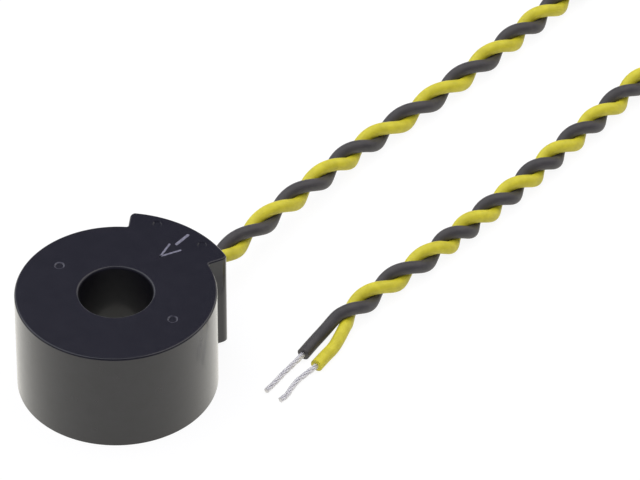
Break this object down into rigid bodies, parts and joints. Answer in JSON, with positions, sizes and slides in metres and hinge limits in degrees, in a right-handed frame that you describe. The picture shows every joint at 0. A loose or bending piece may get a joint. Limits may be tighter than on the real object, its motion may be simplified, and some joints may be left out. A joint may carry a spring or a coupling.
{
  "type": "current transformer",
  "caption": "Round potted current transformer with a pass-through hole, a side boss and a twisted pair of leads with bare tinned ends.",
  "frame": {"origin": "on the pass-through hole's axis, at the base", "axes": "+Z along the hole's axis, up out of the flat top; +Y from the hole's axis towards the boss that the leads leave"},
  "size_m": [0.0382, 0.1243, 0.0147],
  "materials": {
    "housing_plastic": "satin moulded",
    "core_steel": "strip wound, annealed",
    "wrap_film": "matt film",
    "magnet_wire": "clear enamelled copper",
    "tape_film": "gloss polyester film",
    "potting_resin": "poured, glossy",
    "solder": "dull bright",
    "sleeve_plastic": "shrunk on, matt",
    "black_pvc": "satin PVC",
    "yellow_pvc": "satin PVC",
    "tinned_copper": "tinned strands"
  },
  "bodies": {
    "root": {"housing": "housing_plastic", "core": "core_steel", "core_wrap": "wrap_film", "winding": "magnet_wire", "winding_tape": "tape_film", "potting": "potting_resin", "black_tail": "magnet_wire", "yellow_tail": "magnet_wire", "black_splice": "solder", "yellow_splice": "solder", "black_sleeve": "sleeve_plastic", "yellow_sleeve": "sleeve_plastic", "black_inner_end": "tinned_copper", "yellow_inner_end": "tinned_copper", "black_lead": "black_pvc", "yellow_lead": "yellow_pvc", "black_bare_end": "tinned_copper", "yellow_bare_end": "tinned_copper"}
  },
  "joints": []
}
